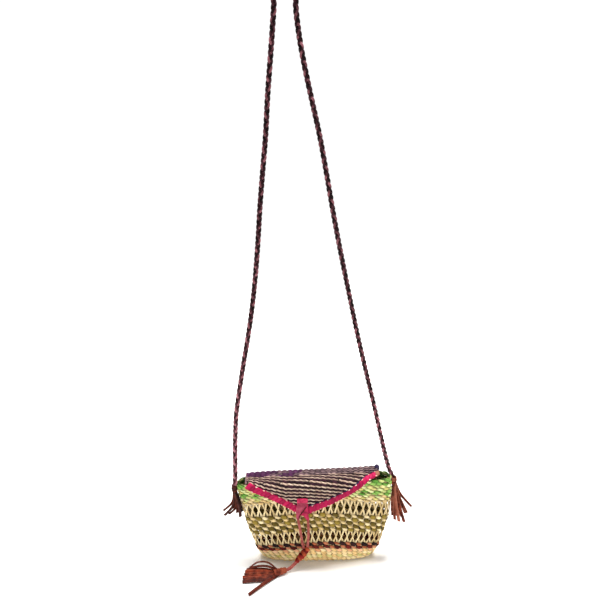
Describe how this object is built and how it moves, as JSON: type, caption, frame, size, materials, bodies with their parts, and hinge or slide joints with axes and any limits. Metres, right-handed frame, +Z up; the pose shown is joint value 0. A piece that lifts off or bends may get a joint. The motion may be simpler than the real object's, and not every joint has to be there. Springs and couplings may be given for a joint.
{
  "type": "woven straw shoulder bag",
  "caption": "Small twined straw bag with openwork bands, a woven flap with raffia edging, a knotted leather closure with tassel, and a long braided leather strap.",
  "frame": {"origin": "top bend of the strap, where the bag hangs", "axes": "+X along the mouth to the wearer's left end as seen from the front, +Y from the front with the flap to the back, +Z up along the strap"},
  "size_m": [0.2334, 0.0929, 0.6857],
  "materials": {
    "straw": "twined natural and dyed straw, matt with a slight sheen",
    "flap_straw": "twined cream and dark purple straw, matt",
    "raffia": "magenta raffia, satin",
    "pink_leather": "soft dyed leather lace, matt",
    "knot_leather": "soft dyed leather lace, matt",
    "tassel_leather": "cut leather strips, satin",
    "strap_leather": "braided leather thongs, satin"
  },
  "bodies": {
    "root": {"bag_body": "straw", "flap": "flap_straw", "flap_edging": "raffia", "closure_knot": "pink_leather", "closure_leg_left": "pink_leather", "closure_leg_right": "pink_leather", "closure_lower_knot": "knot_leather", "closure_tail": "pink_leather", "front_tassel": "tassel_leather", "strap_tassel_left": "tassel_leather", "strap_tassel_right": "tassel_leather", "strap": "strap_leather"}
  },
  "joints": []
}
